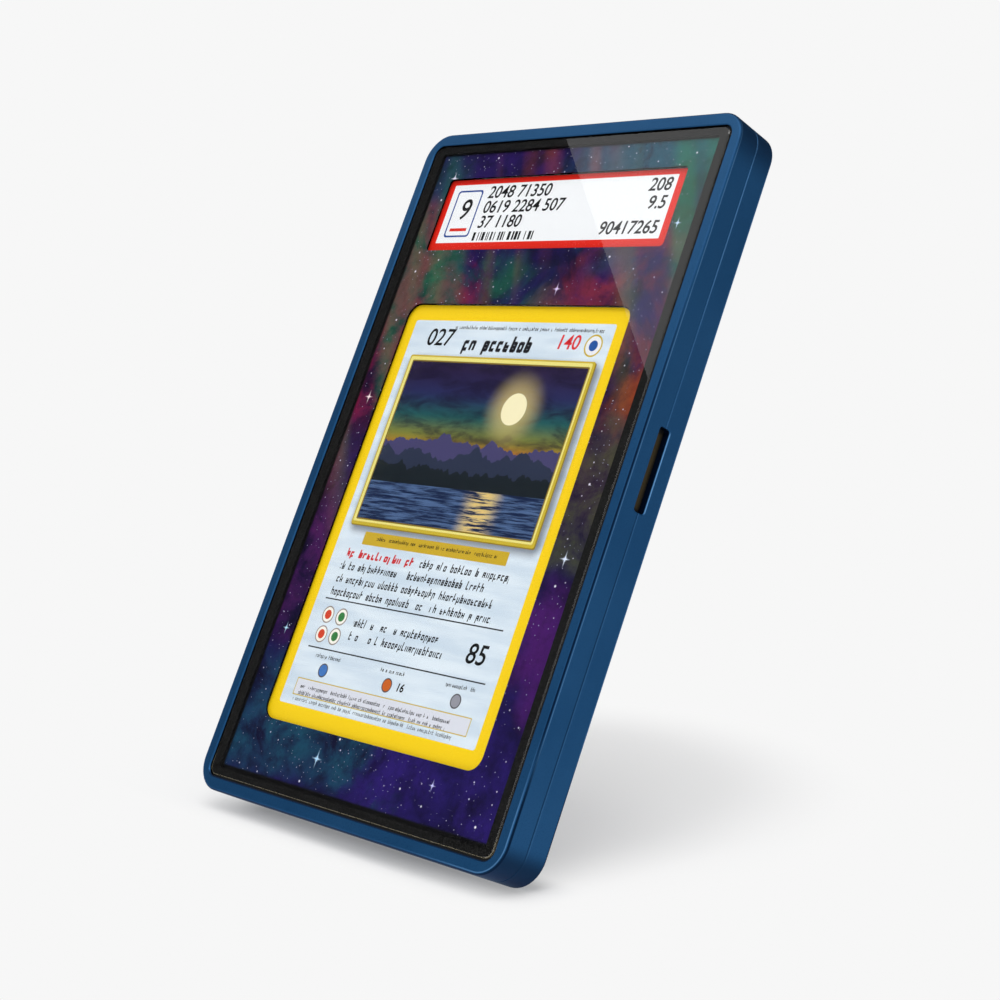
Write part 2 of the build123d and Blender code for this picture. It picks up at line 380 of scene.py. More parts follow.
def anodised_blue(name):
    """Satin blue anodised aluminium: fine blasted grain, slow drifts of tone and faint rubs, and
    painted light that makes it lighter high on the faces. Painted highlights and painted shade
    line its outer rounding, walls and slot. The opening's lower lip is darkened with painted
    shade, and the opening's wall is coloured near-black."""
    finish = Finish(name)
    x, y, z = finish.axes((0.0, 0.0, MIDDLE))
    outline = beyond_box(x, z, (0.0, 0.0), CASE_HALF, CASE_CORNER)
    opening = beyond_box(x, z, (0.0, 0.0), OPENING_HALF, OPENING_CORNER)
    bright, dark = rounding_painted_light(x, z, outline + (FACE_DEPTH - abs(y)))
    for painted_highlight, painted_shade in (wall_painted_light(x, y, z, outline), slot_painted_light(x, y, z)):
        bright = bright.most(painted_highlight)
        dark = dark.most(painted_shade)
    # painted shade along the opening's lower lip
    lower_lip_shade = (opening < 0.27) * z.rise(-68.4, -69.4)
    dark = dark.most(lower_lip_shade * 0.8)

    grain = finish.noise(finish.place, 4200.0, 3.0, 0.65)
    drift = finish.noise(finish.place, 26.0, 4.0, 0.55)
    rub = finish.noise(finish.place, 160.0, 5.0, 0.7)
    high_face_light = abs(y).rise(4.9, 5.08) * z.rise(10.0, 66.0)
    colour = finish.blend(paint(29, 74, 117), paint(37, 83, 127), drift.rise(0.3, 0.7))
    colour = finish.blend(colour, paint(15, 55, 95), grain.rise(0.5, 0.75) * 0.5)
    colour = finish.blend(colour, paint(52, 104, 148), rub.rise(0.6, 0.8) * 0.12)
    # painted light: the faces made lighter high up
    colour = finish.blend(colour, paint(62, 104, 146), high_face_light * 0.3)
    # painted highlights, then painted shade, on the rounding, walls and slot
    colour = finish.blend(colour, paint(104, 156, 206), bright * (rub.rise(0.2, 0.5) * 0.3 + 0.5))
    colour = finish.blend(colour, paint(4, 18, 42), dark)
    # the opening's wall is coloured near-black
    colour = finish.blend(colour, paint(9, 9, 10), opening < 0.03)
    shader = finish.principled(
        {
            "Base Color": colour,
            "Metallic": 0.5,
            "Specular IOR Level": 0.15,
            "Specular Tint": (0.22, 0.5, 0.85, 1.0),
            "Roughness": 0.33 + grain * 0.1 + rub * 0.06,
            "Normal": finish.bump(grain, 0.000012, 0.5),
        }
    )
    return finish.done(shader)


def black_plastic(name, level=0.011, roughness=0.45, slot_patch=False):
    """Moulded black plastic with a spark-eroded texture. With slot_patch, what the pry slot bares of
    it is brown."""
    finish = Finish(name)
    texture = finish.noise(finish.place, 2600.0, 4.0, 0.6)
    colour = finish.blend((level,) * 3 + (1.0,), (level * 1.7,) * 3 + (1.0,), texture.rise(0.4, 0.7))
    if slot_patch:
        x, y, z = finish.axes((0.0, 0.0, MIDDLE))
        # a brown patch where the pry slot bares the plastic
        slot_brown = beyond_box(y, z, (-0.2, SLOT_RISE), (1.5, 7.4), SLOT_CORNER).rise(0.3, -0.7)
        colour = finish.blend(colour, paint(76, 66, 45), slot_brown * (x > THROAT[0]))
    shader = finish.principled(
        {
            "Base Color": colour,
            "Specular IOR Level": 0.12,
            "Roughness": roughness + texture * 0.15,
            "Normal": finish.bump(texture, 0.00001, 0.25),
        }
    )
    return finish.done(shader)


def printing_ink(name, colour):
    """Printing ink with a slightly uneven film."""
    finish = Finish(name)
    film = finish.noise(finish.place, 9000.0, 2.0, 0.5)
    lighter = tuple(level * 1.6 + 0.004 for level in colour[:3]) + (1.0,)
    tone = finish.blend(colour, lighter, film.rise(0.45, 0.75))
    inputs = {"Base Color": tone, "Specular IOR Level": 0.2, "Roughness": 0.45 + film * 0.1}
    return finish.done(finish.principled(inputs))


def foam(name):
    """Charcoal foam with open cells."""
    finish = Finish(name)
    cells = finish.node("ShaderNodeTexVoronoi", None, {"Vector": finish.place, "Scale": 2600.0})
    depth = Signal(finish, cells.outputs["Distance"])
    colour = finish.blend(paint(30, 30, 32), paint(64, 64, 66), depth.rise(0.1, 0.6))
    shader = finish.principled(
        {"Base Color": colour, "Roughness": 0.95, "Normal": finish.bump(depth, 0.0001, 0.6)}
    )
    return finish.done(shader)


def plated(name, level, roughness):
    """Bright plated metal with faint drawn lines."""
    finish = Finish(name)
    x, y, z = finish.axes()
    lines = finish.noise(finish.vector(x * 2.0, y * 14.0, z * 2.0), 1.0, 4.0, 0.6)
    low = (level * 0.85, level * 0.85, level * 0.83, 1.0)
    colour = finish.blend(low, (level, level, level * 0.97, 1.0), lines.rise(0.35, 0.65))
    shader = finish.principled(
        {
            "Base Color": colour,
            "Metallic": 1.0,
            "Roughness": roughness + lines * 0.15,
            "Normal": finish.bump(lines, 0.00001, 0.3),
        }
    )
    return finish.done(shader)


def clear_sheet(name, tint, ior, window=None):
    """A clear solid that bends and mirrors what is seen through it. Lamp light, and light that
    other surfaces scatter, pass straight through. A pane gives window, half of its bare part in
    millimetres. Its coated back mirrors nothing, black tape wets that back beyond the window, and
    its bevelled rim is ground matt, an olive matt laid on most thickly along the lower edge as a
    painted glint."""
    finish = Finish(name)
    optics = {"Color": tint, "Roughness": 0.0, "IOR": ior}
    solid = finish.node("ShaderNodeBsdfGlass", None, optics).outputs[0]
    straight = finish.node("ShaderNodeBsdfTransparent", None, {"Color": tint}).outputs[0]
    rays = finish.node("ShaderNodeLightPath")
    shadow, diffuse = [Signal(finish, rays.outputs[k]) for k in ("Is Shadow Ray", "Is Diffuse Ray")]
    passing = shadow.most(diffuse)

    def mix(share, first, second):
        return finish.node("ShaderNodeMixShader", None, {0: share, 1: first, 2: second}).outputs[0]

    if window:
        x, y, z = finish.axes((0.0, 0.0, MIDDLE))
        inside = Signal(finish, finish.node("ShaderNodeNewGeometry").outputs["Backfacing"])
        back = inside * (abs(y) < PANE_BACK + 0.05)
        coated = finish.node("ShaderNodeBsdfRefraction", None, optics).outputs[0]
        solid = mix(back, solid, coated)
        passing = passing.most(back * (beyond_box(x, z, (0.0, 0.0), window, WINDOW_CORNER) > 0.0))
        grain = finish.noise(finish.place, 3000.0, 3.0, 0.6)
        frost_and_glint = finish.blend(paint(130, 122, 92), paint(190, 178, 148), grain.rise(0.3, 0.7))
        ground = finish.principled({"Base Color": frost_and_glint, "Roughness": 0.5})
        # the rim's olive matt, thickest along the lower edge: ground bevel and painted glint
        rim = beyond_box(x, z, (0.0, 0.0), PANE_HALF, PANE_CORNER) > -0.11
        solid = mix(rim * (z.rise(-63.0, -69.2) * 0.5 + 0.03), solid, ground)
    return finish.done(mix(passing, solid, straight))


# ---- Printed night sky ----
# each cloud's middle, halves, where its noise starts and fills it, and its colour
CLOUDS = [
    ((-20.0, 60.0), (46.0, 20.0), 0.32, 0.62, paint(36, 14, 84)),
    ((26.0, 34.0), (26.0, 14.0), 0.34, 0.58, paint(128, 40, 58)),
    ((-36.0, 30.0), (22.0, 26.0), 0.34, 0.58, paint(128, 22, 56)),
    ((34.0, 16.0), (26.0, 16.0), 0.36, 0.6, paint(150, 62, 26)),
    ((28.0, 62.0), (32.0, 20.0), 0.3, 0.52, paint(20, 84, 104)),
    ((-34.0, 2.0), (26.0, 16.0), 0.36, 0.6, paint(60, 30, 70)),
    ((36.0, -4.0), (24.0, 14.0), 0.36, 0.6, paint(66, 70, 44)),
    ((-8.0, 34.0), (26.0, 12.0), 0.4, 0.64, paint(24, 84, 66)),
    ((-34.0, -26.0), (24.0, 20.0), 0.36, 0.6, paint(78, 24, 84)),
    ((36.0, -30.0), (26.0, 16.0), 0.36, 0.6, paint(74, 24, 104)),
    ((-20.0, -58.0), (34.0, 18.0), 0.34, 0.58, paint(22, 74, 96)),
    ((28.0, -60.0), (34.0, 18.0), 0.34, 0.6, paint(44, 26, 112)),
]
# each four-pointed star's place, size and colour
SPARKLES = [
    (-33.5, 62.0, 1.5, paint(235, 235, 255)),
    (9.0, 36.5, 1.3, paint(235, 215, 255)),
    (35.0, 50.0, 1.2, paint(200, 225, 255)),
    (-35.5, 12.0, 1.4, paint(255, 235, 235)),
    (34.8, -16.0, 1.5, paint(225, 235, 255)),
    (-35.0, -38.0, 1.2, paint(190, 235, 255)),
    (-12.0, -61.0, 1.7, paint(185, 225, 255)),
    (21.0, -60.0, 1.1, paint(205, 205, 255)),
]
# each kind of star: the size of its cells and of its largest star, and its colour
STARS = [
    (1.3, 0.06, paint(190, 190, 225)),
    (3.1, 0.12, paint(220, 215, 240)),
    (7.0, 0.2, paint(245, 240, 255)),
]


def sky_colour(finish, u, v):
    """A nebula over a star field: clouds of colour, each a band across the sheet cut by warped
    noise, slanting veils of light, stars in cells of three sizes and a few four-pointed stars."""
    flat = finish.vector(u, v, 0.0)
    slow = finish.noise(flat, 0.028, 3.0, 0.55)
    drift = finish.noise(finish.vector(u, v, 40.0), 0.05, 6.0, 0.62, 0.6)
    puff = finish.noise(finish.vector(u, v, 80.0), 0.11, 8.0, 0.66, 0.4)
    fine = finish.noise(finish.vector(u, v, 120.0), 0.5, 6.0, 0.7)
    level = v + (slow - 0.5) * 70.0
    side = u + (drift - 0.5) * 60.0

    def cloud(centre, half, low, high, source):
        away = ((level - centre[1]) / half[1]) ** 2.0 + ((side - centre[0]) / half[0]) ** 2.0
        return away.rise(1.0, 0.05) * source.rise(low, high)

    colour = finish.blend(paint(14, 9, 40), paint(30, 20, 86), puff.rise(0.3, 0.7))
    for number, (centre, half, low, high, tone) in enumerate(CLOUDS):
        source = drift if number % 2 else puff
        colour = finish.blend(colour, tone, cloud(centre, half, low, high, source) * 0.86)

    slant = u * 0.9 + v * 0.32
    run = v * 0.9 - u * 0.32
    veil = finish.noise(finish.vector(slant * 0.1, run * 0.012, 7.0), 1.0, 1.5, 0.4)
    turn = (slant * 0.09).sine().rise(-0.6, 0.6)
    tone = finish.blend(paint(30, 120, 80), paint(190, 84, 40), turn)
    glow = veil.rise(0.46, 0.68) * run.rise(-30.0, 40.0) * 0.55
    colour = finish.blend(colour, tone, glow)
    colour = finish.blend(colour, paint(6, 4, 18), fine.rise(0.42, 0.7) * 0.3)
    dash = finish.noise(finish.vector(u * 0.35, v * 2.6, 21.0), 1.0, 2.0, 0.5)
    streaks = dash.rise(0.68, 0.8) * puff.rise(0.4, 0.7)
    colour = finish.blend(colour, paint(150, 140, 190), streaks * 0.3)

    for size, most, tone in STARS:
        cells = finish.node(
            "ShaderNodeTexVoronoi",
            {"voronoi_dimensions": "2D"},
            {"Vector": flat, "Scale": 1.0 / size},
        )
        away = Signal(finish, cells.outputs["Distance"]) * size
        chance = finish.node("ShaderNodeSeparateColor", None, {0: cells.outputs["Color"]})
        bright = Signal(finish, chance.outputs[0]).rise(0.5, 1.0)
        star = (away / (bright * most + 0.02)).rise(1.6, 0.3) * bright
        colour = finish.blend(colour, tone, star)

    for across, along, size, tone in SPARKLES:
        dx = abs(u - across)
        dz = abs(v - along)
        tall = (dx / (size * 0.13)).rise(1.0, 0.0) * (dz / (size * 1.25)).rise(1.0, 0.0)
        wide = (dz / (size * 0.13)).rise(1.0, 0.0) * (dx / size).rise(1.0, 0.0)
        core = reach(u, v, (across, along)).rise(size * 0.45, 0.0)
        colour = finish.blend(colour, tone, (tall + wide + core * 0.8).least(1.0))
    return colour


def printed_mat(name, front, sign):
    """A printed sheet: the night sky on its outer face, fading to black at its rim, and black
    behind."""
    finish = Finish(name)
    x, y, z = finish.axes((0.0, front, MIDDLE))
    sky = sky_colour(finish, x * sign, z)
    rim = beyond_box(x, z, (0.0, PRINT_RISE), PRINT_HALF, WINDOW_CORNER).rise(0.0, -0.6)
    sky = finish.blend(paint(18, 18, 19), sky, rim)
    outer = (y * sign).rise(0.195, 0.18)
    colour = finish.blend(paint(16, 16, 18), sky, outer)
    speck = finish.noise(finish.place, 2500.0, 2.0, 0.5)
    shader = finish.principled(
        {"Base Color": colour, "Specular IOR Level": 0.1, "Roughness": 0.45 + speck * 0.1}
    )
    return finish.done(shader)


# ---- Printed card ----
INK = paint(24, 22, 28)
RED = paint(206, 40, 48)
GOLD = paint(204, 178, 52)
LINE = 2.7  # the pitch of the print's lines
FINE_LINE = 1.3
TITLE_LINE = 5.2
TITLE_RISE = 2.3
EMBLEM = (24.4, 36.6)
PICTURE = (0.0, 15.0)
PICTURE_HALF = (25.2, 17.0)
MOON = (9.0, 8.0)
MOON_RADIUS = 3.3
# each ridge's height, swing and roughness, the seed of its noise and its colour
RIDGES = [
    (0.5, 13.0, 0.1, 2.0, paint(70, 66, 108)),
    (-2.5, 11.0, 0.16, 6.0, paint(44, 52, 74)),
    (-5.5, 9.0, 0.24, 9.0, paint(26, 34, 40)),
]
LAKE_EDGE = -8.9


def grown(half, by):
    """The halves of a rectangle that is wider all round."""
    return half[0] + by, half[1] + by


def card_front(finish, u, v, speck):
    """The face: a yellow border round a silver panel with a framed landscape, rows of print, rules
    and coloured counters."""
    colour = finish.blend(paint(252, 208, 10), paint(255, 216, 26), speck.rise(0.35, 0.65))
    streak = finish.noise(finish.vector(u * 0.05, v * 0.35, 3.0), 1.0, 4.0, 0.55)
    silver = finish.blend(paint(206, 221, 235), paint(228, 239, 248), streak.rise(0.3, 0.7))
    half_u, half_v = half_of(CARD)
    panel = (half_u - 2.96, half_v - 3.48)
    colour = finish.blend(colour, silver, inside_box(u, v, (0.0, 0.1), panel, 0.6))

    def lay(tone, mask):
        nonlocal colour
        colour = finish.blend(colour, tone, mask)

    title = marks(finish, u, v - TITLE_RISE, TITLE_LINE, 2.0, 5.0, 0.16)
    heading = marks(finish, u, v, LINE, 1.3, 33.0, 0.17)
    small = marks(finish, u, v, LINE, 1.0, 17.0)
    tiny = marks(finish, u, v, FINE_LINE, 0.5, 41.0)

    # header: an emblem, a heavy title and a fine line above it
    lay(GOLD, inside_disc(u, v, EMBLEM, 2.3))
    lay(paint(238, 238, 244), inside_disc(u, v, EMBLEM, 1.95))
    lay(paint(36, 84, 160), inside_disc(u, v, EMBLEM, 1.1))
    lay(INK, title * rows(finish, u, v - TITLE_RISE, -12.0, 8.0, 7, 1, TITLE_LINE))
    lay(INK, tiny * rows(finish, u, v, -16.0, 26.0, 31, 1, FINE_LINE))

    # framed landscape: a soft shadow, then each step of the gold frame inside the last
    shadow = beyond_box(u, v, (0.9, 14.1), (26.2, 17.6), 1.0).rise(2.6, 0.0)
    lay(paint(62, 60, 74), shadow * 0.7)
    lay(paint(150, 126, 34), inside_box(u, v, (0.25, 14.75), (26.7, 18.4), 0.5))
    lay(GOLD, inside_box(u, v, PICTURE, grown(PICTURE_HALF, 1.4), 0.5))
    lay(paint(238, 226, 132), inside_box(u, v, (-0.15, 15.15), grown(PICTURE_HALF, 0.9), 0.4))
    lay(paint(136, 112, 30), inside_box(u, v, PICTURE, grown(PICTURE_HALF, 0.3), 0.3))
    picture = landscape(finish, u, v - PICTURE[1])
    lay(picture, inside_box(u, v, PICTURE, PICTURE_HALF, 0.2))

    # caption strip under the picture
    lay(paint(204, 170, 44), inside_box(u, v, (0.0, -6.0), (21.0, 1.35), 0.2))
    lay(INK, tiny * rows(finish, u, v, -17.0, 18.0, -4, 1, FINE_LINE))

    # two blocks of print, each over a rule, with four counters before the second
    lay(RED, heading * rows(finish, u, v, -24.3, -4.1, -3, 1, LINE))
    lay(INK, small * rows(finish, u, v, -2.0, 23.0, -3, 1, LINE))
    lay(INK, small * rows(finish, u, v, -25.0, 24.0, -4, 3, LINE, 9.0))
    for across, tone in ((-23.4, paint(214, 70, 44)), (-19.2, paint(60, 130, 70))):
        for along in (-22.3, -26.3):
            lay(paint(150, 136, 130), inside_disc(u, v, (across, along), 1.75))
            lay(paint(250, 246, 236), inside_disc(u, v, (across, along), 1.5))
            lay(tone, inside_disc(u, v, (across, along), 0.95))
    lay(INK, small * rows(finish, u, v, -15.0, 13.0, -8, 2, LINE, 7.0))
    for height in (-19.1, -29.1):
        lay(INK, inside_box(u, v, (0.0, height), (26.0, 0.13)))

    # a row of three counters, each under a fine word
    counters = ((-19.0, (70, 120, 190)), (0.5, (206, 100, 36)), (20.0, (150, 150, 160)))
    for across, tone in counters:
        lay(INK, tiny * rows(finish, u, v, across - 4.0, across + 4.0, -23, 1, FINE_LINE))
        lay(paint(80, 78, 84), inside_disc(u, v, (across, -33.2), 1.4))
        lay(paint(*tone), inside_disc(u, v, (across, -33.2), 1.15))

    # footer in a thin gold frame
    lay(GOLD, inside_box(u, v, (0.0, -37.2), (25.6, 1.75), 0.2))
    lay(paint(222, 224, 234), inside_box(u, v, (0.0, -37.2), (25.4, 1.55), 0.2))
    lay(INK, tiny * rows(finish, u, v, -24.0, 24.0, -28, 2, FINE_LINE, 8.0))
    lay(INK, tiny * rows(finish, u, v, -25.0, 22.0, -30, 1, FINE_LINE) * 0.85)
    return colour


def card_back(finish, u, v):
    """The back: a diamond lattice in a frame line, with an eight-pointed star on a disc. Each four
    points of the star lie within a sum of square roots."""
    navy = paint(20, 32, 82)
    middle = (0.0, 0.0)
    lines = [abs((along / 4.2).fraction() - 0.5).rise(0.1, 0.05) for along in (u + v, u - v)]
    field = finish.blend(paint(24, 42, 100), paint(74, 114, 182), lines[0].most(lines[1]))
    back = finish.blend(navy, field, inside_box(u, v, middle, (27.5, 40.0), 2.0))
    frame_line = abs(beyond_box(u, v, middle, (28.6, 41.2), 2.6)).rise(0.28, 0.2)
    back = finish.blend(back, GOLD, frame_line)
    back = finish.blend(back, navy, inside_disc(u, v, middle, 13.0))
    back = finish.blend(back, GOLD, ring(u, v, middle, 12.2, 0.5))
    for across, along, size, tone in ((u + v, u - v, 3.4, paint(120, 150, 206)), (u, v, 3.2, GOLD)):
        star = (abs(across) ** 0.5 + abs(along) ** 0.5).rise(size + 0.03, size - 0.03)
        back = finish.blend(back, tone, star)
    return back


def card_print(name):
    """Coated card printed on both sides, with a plain pale edge between."""
    finish = Finish(name)
    centre = middle_of(CARD)
    u, y, v = finish.axes((centre.x, CARD[0].y, centre.z))
    speck = finish.noise(finish.vector(u, v, 0.0), 3.0, 3.0, 0.6)
    thick = (CARD[1].y - CARD[0].y) / MM
    colour = finish.blend(card_front(finish, u, v, speck), paint(236, 232, 222), y.rise(0.04, 0.06))
    behind = y.rise(thick - 0.06, thick - 0.04)
    colour = finish.blend(colour, card_back(finish, u, v), behind)
    shader = finish.principled(
        {"Base Color": colour, "Specular IOR Level": 0.15, "Roughness": 0.35 + speck * 0.1}
    )
    return finish.done(shader)


def landscape(finish, u, v):
    """A generic view in a frame 50 mm wide and 34 mm high: an evening sky in bands of colour, a low
    moon, three mountain ridges, each a line plus noise along u, and a lake with broken light."""
    sky = finish.blend(paint(42, 30, 66), paint(38, 44, 92), v.rise(17.0, 8.0))
    sky = finish.blend(sky, paint(30, 92, 88), v.rise(11.0, 4.0))
    sky = finish.blend(sky, paint(132, 132, 44), v.rise(6.0, 0.0))
    sky = finish.blend(sky, paint(196, 106, 44), v.rise(2.0, -3.0))
    mist = finish.noise(finish.vector(u * 0.09, v * 0.3, 11.0), 1.0, 6.0, 0.65, 0.5)
    sky = finish.blend(sky, paint(24, 16, 44), mist.rise(0.4, 0.68) * 0.75)
    glow = reach(u, v, MOON).rise(9.0, 2.0)
    sky = finish.blend(sky, paint(240, 214, 130), glow * 0.5)
    sky = finish.blend(sky, paint(250, 240, 196), inside_disc(u, v, MOON, MOON_RADIUS))
    for base, swing, scale, seed, tone in RIDGES:
        line = finish.noise(finish.vector(u, 0.0, seed * 9.0), scale, 5.0, 0.55)
        ridge = (line - 0.5) * swing + base
        sky = finish.blend(sky, tone, (v - ridge).rise(EDGE, -EDGE))
    ripple = finish.noise(finish.vector(u * 0.12, v * 1.7, 5.0), 1.0, 4.0, 0.6)
    lake = finish.blend(paint(22, 36, 70), paint(78, 104, 146), ripple.rise(0.4, 0.62))
    path = abs(u - MOON[0]).rise(6.5, 1.0) * ripple.rise(0.44, 0.56)
    lake = finish.blend(lake, paint(226, 196, 120), path)
    return finish.blend(sky, lake, v.rise(LAKE_EDGE, LAKE_EDGE - 0.1))


# ---- Printed label ----
LABEL_MARK = -26.4  # the boxed mark's middle
TEXT_LEFT = -20.8
TEXT_RIGHT = 30.6
TEXT_HEIGHT = 3.9


def label_print(name):
    """Label paper: a red border round white, a bar code and a boxed mark. Its rows of figures are
    separate printed pieces.
    """
    finish = Finish(name)
    centre = middle_of(LABEL)
    half_u, half_v = half_of(LABEL)
    u, y, v = finish.axes((centre.x, LABEL[0].y, centre.z))
    fibre = finish.noise(finish.vector(u, v, 0.0), 2.5, 4.0, 0.6)
    white = finish.blend(paint(246, 247, 250), paint(251, 252, 254), fibre.rise(0.35, 0.65))
    panel = inside_box(u, v, (-0.16, 0.4), (half_u - 1.9, half_v - 1.55), 0.15)
    colour = finish.blend(paint(232, 36, 20), white, panel)
    ink = paint(16, 16, 18)
    stripe = finish.dice(finish.vector((u / 0.26).floor(), 0.0, 77.0)) > 0.48
    colour = finish.blend(colour, ink, inside_box(u, v, (-12.0, -4.95), (9.0, 0.95)) * stripe)
    mark = (LABEL_MARK, 0.4)
    colour = finish.blend(colour, paint(28, 70, 150), inside_box(u, v, mark, (3.9, 5.4), 0.8))
    colour = finish.blend(colour, white, inside_box(u, v, mark, (3.5, 5.0), 0.6))
    underline = inside_box(u, v, (LABEL_MARK, -3.3), (2.6, 0.35))
    colour = finish.blend(colour, paint(226, 40, 24), underline)
    colour = finish.blend(colour, paint(236, 236, 236), y.rise(0.03, 0.06))
    shader = finish.principled(
        {"Base Color": colour, "Specular IOR Level": 0.15, "Roughness": 0.5 + fibre * 0.1}
    )
    return finish.done(shader)


def print_numbers(name, lines, material, rider):
    """Plain printed figures as one mesh: each line is a text outline 0.01 mm thick, drawn flat,
    slanted a little, and stood up to face -Y. A line gives its text, its height in millimetres,
    its place and its alignment."""
    flat = bmesh.new()
    for body, size, place, align in lines:
        curve = bpy.data.curves.new(name, "FONT")
        curve.body = body
        curve.size = size * MM
        curve.align_x = align
        curve.align_y = "CENTER"
        curve.shear = 0.12
        curve.offset = 0.05 * MM
        curve.extrude = 0.005 * MM
        curve.resolution_u = 6
        holder = bpy.data.objects.new(name, curve)
        bpy.context.scene.collection.objects.link(holder)
        graph = bpy.context.evaluated_depsgraph_get()
        outline = bpy.data.meshes.new_from_object(holder.evaluated_get(graph))
        bpy.data.objects.remove(holder)
        upright = Euler((math.radians(90), 0.0, 0.0)).to_matrix().to_4x4()
        outline.transform(Matrix.Translation(place) @ upright)
        flat.from_mesh(outline)
        bpy.data.meshes.remove(outline)
    mesh = bpy.data.meshes.new(name)
    flat.to_mesh(mesh)
    flat.free()
    mesh.materials.clear()
    mesh.materials.append(material)
    piece = bpy.data.objects.new(name, mesh)
    bpy.context.scene.collection.objects.link(piece)
    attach(piece, rider)


def on_face(box, across, above):
    """A place just in front of a printed face, in millimetres from its middle."""
    middle = middle_of(box)
    return Vector((middle.x + across * MM, box[0].y - 0.015 * MM, middle.z + above * MM))


# ---- Smooth copies of the shells ----
def smooth_copy(node, rider, material, angle=25.0):
    """A copy of a CAD node with its corners merged, smooth over curved stretches and crisp at
    edges sharper than angle, with normals weighted to the large flat faces."""
    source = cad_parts[node]
    mesh = source.data.copy()
    mesh.name = node + "_finish"
    work = bmesh.new()
    work.from_mesh(mesh)
    bmesh.ops.remove_doubles(work, verts=work.verts, dist=1e-7)
    for edge in work.edges:
        edge.smooth = len(edge.link_faces) == 2 and edge.calc_face_angle(0.0) < math.radians(angle)
    for face in work.faces:
        face.smooth = True
    work.to_mesh(mesh)
    work.free()
    mesh.materials.clear()
    mesh.materials.append(material)
    piece = bpy.data.objects.new(node + "_finish", mesh)
    bpy.context.scene.collection.objects.link(piece)
    weights = piece.modifiers.new("flat faces lead", "WEIGHTED_NORMAL")
    weights.keep_sharp = True
    weights.weight = 100
    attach(piece, rider)
    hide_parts(node)


def dress(node, material):
    """Puts a material on a CAD node in place of the plain one."""
    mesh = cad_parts[node].data
    mesh.materials.clear()
    mesh.materials.append(material)


blue = anodised_blue("blue anodised aluminium")
smooth_copy("front_shell", "front_half", blue)
smooth_copy("rear_shell", "rear_half", blue)

plastic = black_plastic("black moulded plastic", slot_patch=True)
tape = black_plastic("black bonding tape", 0.0095, 0.6)
pane = clear_sheet("clear pane", (0.996, 0.999, 0.998, 1.0), 1.5, WINDOW_HALF)
holder_clear = clear_sheet("clear moulded holder", (0.998, 0.998, 0.999, 1.0), 1.12)
nickel = plated("nickel plate", 0.62, 0.22)
steel = plated("ground steel", 0.5, 0.3)
for half in ("front", "rear"):
    dress(half + "_inner_frame", plastic)
    dress(half + "_glass_tape", tape)
    dress(half + "_side_magnets", nickel)
    dress(half + "_end_magnets", nickel)
    dress(half + "_glass", pane)
dress("locating_pins", steel)
dress("rear_cushion", foam("charcoal foam"))
dress("front_art_insert", printed_mat("printed sky, front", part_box("front_art_insert")[0].y, 1.0))
dress("rear_art_insert", printed_mat("printed sky, rear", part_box("rear_art_insert")[1].y, -1.0))
dress("trading_card", card_print("printed card"))
dress("grade_label", label_print("printed label"))
for node in ("slab_front_shell", "slab_rear_shell", "card_carrier"):
    dress(node, holder_clear)

black_ink = printing_ink("black ink", paint(14, 14, 16))
red_ink = printing_ink("red ink", paint(214, 36, 44))
label_lines = [
    ("9", 6.6, on_face(LABEL, LABEL_MARK, 1.1), "CENTER"),
    ("2048 71350", TEXT_HEIGHT, on_face(LABEL, TEXT_LEFT, 5.0), "LEFT"),
    ("0619 2284 507", TEXT_HEIGHT, on_face(LABEL, TEXT_LEFT, 1.6), "LEFT"),
    ("37 1180", TEXT_HEIGHT, on_face(LABEL, TEXT_LEFT, -1.8), "LEFT"),
    ("208", TEXT_HEIGHT, on_face(LABEL, TEXT_RIGHT, 5.0), "RIGHT"),
    ("9.5", TEXT_HEIGHT, on_face(LABEL, TEXT_RIGHT, 1.2), "RIGHT"),
    ("90417265", TEXT_HEIGHT, on_face(LABEL, TEXT_RIGHT, -4.0), "RIGHT"),
]
print_numbers("label_figures", label_lines, black_ink, "card_holder")
card_lines = [
    ("027", 5.2, on_face(CARD, -23.5, 37.2), "LEFT"),
    ("85", 5.4, on_face(CARD, 24.0, -24.4), "RIGHT"),
    ("16", 2.2, on_face(CARD, 3.2, -33.2), "LEFT"),
]
print_numbers("card_figures", card_lines, black_ink, "card_holder")
card_red = [("140", 4.2, on_face(CARD, 20.6, 37.0), "RIGHT")]
print_numbers("card_red_figures", card_red, red_ink, "card_holder")

# ---- Camera ----
CAMERA_PLACE = Vector((0.27816, -0.23661, -0.00224))
CAMERA_TURN = (104.0643, -17.9372, 42.1022)  # degrees about X, Y and Z
LENS = 69.78
SHIFT = (-0.0959, -0.0555)
camera_data = bpy.data.cameras.new("camera")
camera_data.lens = LENS
camera_data.sensor_width = 36.0
camera_data.shift_x, camera_data.shift_y = SHIFT
camera_data.clip_start = 0.01
camera_data.clip_end = 20.0
camera = bpy.data.objects.new("camera", camera_data)
camera.location = CAMERA_PLACE
camera.rotation_euler = [math.radians(angle) for angle in CAMERA_TURN]
bpy.context.scene.collection.objects.link(camera)
bpy.context.scene.camera = camera

# ---- Studio ----
LEAN = math.radians(25.77)  # the case leans back by this from the floor's upright
up = Vector((0.0, -math.sin(LEAN), math.cos(LEAN)))
forward = Vector((0.0, -math.cos(LEAN), -math.sin(LEAN)))
right = Vector((1.0, 0.0, 0.0))
heel = Vector((0.0, case_high.y, 0.0))  # the lower rear edge, on which the case stands
PALE = 0.93  # the floor's colour, and the backdrop's light
AMBIENT = 0.4  # light from every side of the sky
FRONT_GLOW = 0.5  # and more from the side that the case faces
OVERHEAD = 0.42  # the lamp above, as a share of the floor's light
LAMP_SPREAD = 44.0  # degrees across the lamp as the case sees it
OWN_TONE = 0.52  # the share of the floor that shows its colour unshaded
FLOOR_REACH = 6.0


def studio_place(across, ahead, above):
    """A place so many metres to the right of the heel, ahead of it and above the floor."""
    return heel + right * across + forward * ahead + up * above


def studio_way(across, ahead, above):
    """A direction of length 1 with such shares of right, forward and up."""
    return (right * across + forward * ahead + up * above).normalized()


